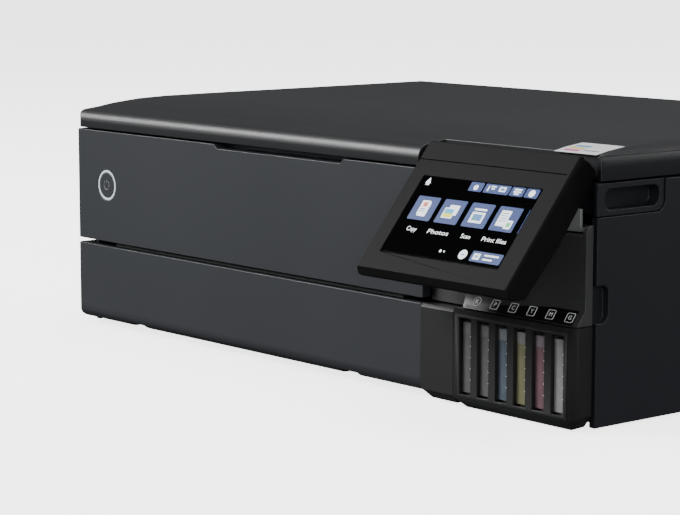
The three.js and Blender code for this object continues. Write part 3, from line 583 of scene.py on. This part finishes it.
letters = ["K", "P", "C", "Y", "M", "G"]
marks, rims = [], []
for i, (name, ink) in enumerate(inks.items()):
    x = tankRow["first"] + i * tankRow["pitch"]
    tankSkin = cadCopy(f"ink_tank_{i + 1}", 0, dissolve=False)
    hand(tankSkin, "casing", "tank_shell", tankFinish(name, ink, empties[i]), f"ink_tank_{i + 1}")
    capSkin = cadCopy(f"ink_cap_{i + 1}", 0.4)
    hand(capSkin, f"ink_cap_{i + 1}", "matte_black", matteBlack, f"ink_cap_{i + 1}")
    for z in tankRow["ticks"]:
        marks.append(block("mark", x + 2.0, x + 3.6, 0.42, 0.6, z - 0.25, z + 0.25, 0))
    labelX = x + 4.2
    centre = at(labelX, strip["y"] - 0.1, strip["z"])
    letterPlace = centre + Vector((0, -0.05, 0.02)) * mm
    marks.append(wording("mark", letters[i], 3.9, letterPlace, 0.03, strip["lean"]))
    rims.append(outline("ring", centre, 3.05, 3.05 if i == 0 else 0.7, 0.16, strip["lean"]))
stripCentre = at(210, strip["y"], strip["z"])
stripLabel = block("strip_label", strip["left"], strip["right"], strip["y"] - 0.05, strip["y"], 62.8, 73.0, 0)
hand(turnAbout(stripLabel, -strip["lean"], stripCentre), "casing", "matte_black", labelBlack)
marksPiece = merge("tank_marks", marks + rims)
hand(marksPiece, "casing", "matte_black", labelInkLit)

bezel = block("tank_bezel", 158.8, 255.5, -2.3, -1.5, 7.4, 59.3, 0)
openings = []
for i in range(6):
    x = tankRow["first"] + i * tankRow["pitch"]
    half = tankRow["window"]
    openings.append(block("opening", x - half, x + half, -4, 0, tankRow["low"], tankRow["high"], 0))
carve(bezel, *openings)
softEdges(bezel, 0.3, 2)
hand(bezel, "casing", "matte_black", matteBlack)
print("tanks and label strip made")


# ---- small parts

ribRows = {
    "output_tray": [-205, -190, -175, 65, 80, 95],
    "output_tray_mid": [-157, -142, -127, 17, 32, 47],
    "output_tray_end": [-105, -80, -55, -30, -5],
}
ribRears = {"output_tray": 244, "output_tray_mid": 228, "output_tray_end": 212}
for body, places in ribRows.items():
    ribs = [block("rib", x - 1.2, x + 1.2, 8, ribRears[body], 64.3, 64.8, 0.2) for x in places]
    hand(merge(body + "_ribs", ribs), body, "matte_black", matteBlack)

calibration = block("calibration_strip", -202.6, -200.4, 64, 284, 143.8, 144.6, 0.1)
hand(calibration, "scanner_unit", "white_pad", whiteFoam)
beltRuns = [block("run", -226, 226, 198, 203, z, z + 0.8, 0.1) for z in (94.6, 110.6)]
hand(merge("drive_belt", beltRuns), "casing", "rubber", rubber)
carriageTop = block("carriage_top", 142, 208, 128, 188, 119, 120.4, 0.5)
hand(carriageTop, "print_carriage", "grey_plastic", greyPlastic)
pins = [rod("pin", "y", 1.1, at(x, 373.4, z), 5, 0.2, 16) for x, z in ((196, 28), (201, 31), (206, 28))]
hand(merge("inlet_pins", pins), "casing", "steel", steel)

screws = []
for x, y in ((-205, 90), (205, 90), (-205, 290), (205, 290), (0, 40), (0, 350), (-120, 350), (120, 350)):
    head = rod("screw", "z", 3.1, at(x, y, 3.2), 0.8, 0.2, 24)
    carve(head, block("cross", x - 1.7, x + 1.7, y - 0.3, y + 0.3, 2, 3.2, 0),
          block("cross", x - 0.3, x + 0.3, y - 1.7, y + 1.7, 2, 3.2, 0))
    screws.append(head)
hand(merge("base_screws", screws), "casing", "steel", steel)

ventScreen = block("vent_screen", 147, 223, 373.5, 374.1, 64, 108, 0.1)
hand(ventScreen, "casing", "matte_black", matteBlack)
vents = [block("vent", x, x + 2.4, 370, 380, 68, 104, 0) for x in range(150, 222, 6)]
carve(skins["rear_case"], *vents)
reshade(skins["rear_case"])
print("small parts made")


# ---- label on the lid

def lidTop(y):  # height of the lid's top, front to back
    heights = [(12, 161.8), (18, 162.6), (30, 164.9), (51, 167.4), (75, 168.5)]
    for (y0, z0), (y1, z1) in zip(heights, heights[1:]):
        if y <= y1:
            return z0 + (z1 - z0) * (y - y0) / (y1 - y0)
    return heights[-1][1]


def lidDecal(name, x0, x1, y0, y1, lift, finish):
    deselectAll()
    bpy.ops.mesh.primitive_grid_add(x_subdivisions=2, y_subdivisions=12, size=1,
                                    location=at((x0 + x1) / 2, (y0 + y1) / 2, 0))
    bpy.context.object.scale = ((x1 - x0) * mm, (y1 - y0) * mm, 1)
    piece = named(name)
    for vertex in piece.data.vertices:
        y = (vertex.co.y - frontY) / mm
        vertex.co.z = (lidTop(y) + lift) * mm
    modify(piece, "SOLIDIFY", thickness=0.08 * mm, offset=1)
    return hand(smooth(piece), "document_lid", "satin_casing", finish)


lidDecal("lid_label", 220, 255, 20.5, 45, 0.1, plainFinish("label_paper", (0.62, 0.62, 0.63), 0.4))


inkBars = [("ink_bar_pink", 24, (0.5, 0.1, 0.25)), ("ink_bar_yellow", 29, (0.6, 0.5, 0.05)),
           ("ink_bar_blue", 34, (0.05, 0.25, 0.5))]
for name, y0, colour in inkBars:
    lidDecal(name, 224, 236, y0, y0 + 3, 0.2, plainFinish(name, colour, 0.4))
lidDecal("label_lines", 239, 251, 26, 27.4, 0.2, plainFinish("label_line", (0.16, 0.17, 0.2), 0.5))


# ---- floor, light and camera

deselectAll()
bpy.ops.mesh.primitive_plane_add(size=30, location=(0, 0, -0.0002))
floor = bpy.context.object
floor.name = "floor"
floorFinish = Finish("floor_white", (0.9, 0.9, 0.9), 0.6, Emission_Color=(1, 1, 1, 1),
                     Emission_Strength=3.0)
floor.data.materials.append(floorFinish.material)
floor.visible_glossy = floor.visible_diffuse = False

deselectAll()
bpy.ops.mesh.primitive_uv_sphere_add(segments=48, ring_count=24, radius=15)
backdrop = bpy.context.object
backdrop.name = "backdrop"
backdropFinish = Finish("backdrop_white", (0, 0, 0), 1.0, Emission_Color=(1, 1, 1, 1),
                        Emission_Strength=20.0)
backdrop.data.materials.append(backdropFinish.material)
backdrop.visible_glossy = backdrop.visible_diffuse = backdrop.visible_shadow = False

world = bpy.data.worlds.new("studio")
world.use_nodes = True
world.node_tree.nodes["Background"].inputs[0].default_value = (0.92, 0.96, 1, 1)
world.node_tree.nodes["Background"].inputs[1].default_value = 0.11
bpy.context.scene.world = world


softboxes = {  # place, target, width, height, power
    "key": ((-1.6, -2.2, 1.7), (0, 0, 0.1), 1.6, 1.2, 120),
    "overhead": ((0.1, 0.3, 2.4), (0, 0, 0.1), 2.2, 1.6, 50),
    "back": ((0.6, 2.6, 1.0), (0, 0.2, 0.08), 1.4, 0.9, 34),
    "fill": ((2.3, -1.4, 0.7), (0.2, -0.1, 0.1), 1.2, 1.2, 26),
    "edge": ((-1.9, -1.1, 1.3), (0, -0.2, 0.15), 0.4, 0.4, 22),
}
for name, (place, target, width, height, power) in softboxes.items():
    light = bpy.data.lights.new(name, "AREA")
    light.shape = "RECTANGLE"
    light.size, light.size_y = width, height
    light.energy = power
    lamp = bpy.data.objects.new(name, light)
    lamp.location = place
    lamp.rotation_euler = (Vector(target) - Vector(place)).to_track_quat("-Z", "Y").to_euler()
    bpy.context.scene.collection.objects.link(lamp)

view = {"azimuth": 50.01, "elevation": 7.994, "lens": 124.82, "sensor": 36,
        "place": (1213.546, -979.716, 296.047)}
lens = bpy.data.cameras.new("camera")
lens.sensor_width = view["sensor"]
lens.lens = view["lens"]
lens.clip_end = 60
camera = bpy.data.objects.new("camera", lens)
azimuth, elevation = math.radians(view["azimuth"]), math.radians(view["elevation"])
back = Vector((math.sin(azimuth) * math.cos(elevation), -math.cos(azimuth) * math.cos(elevation),
               math.sin(elevation)))
camera.location = at(*view["place"])
camera.rotation_mode = "QUATERNION"
camera.rotation_quaternion = (-back).to_track_quat("-Z", "Y")
bpy.context.scene.collection.objects.link(camera)
bpy.context.scene.camera = camera

print("scene ready")
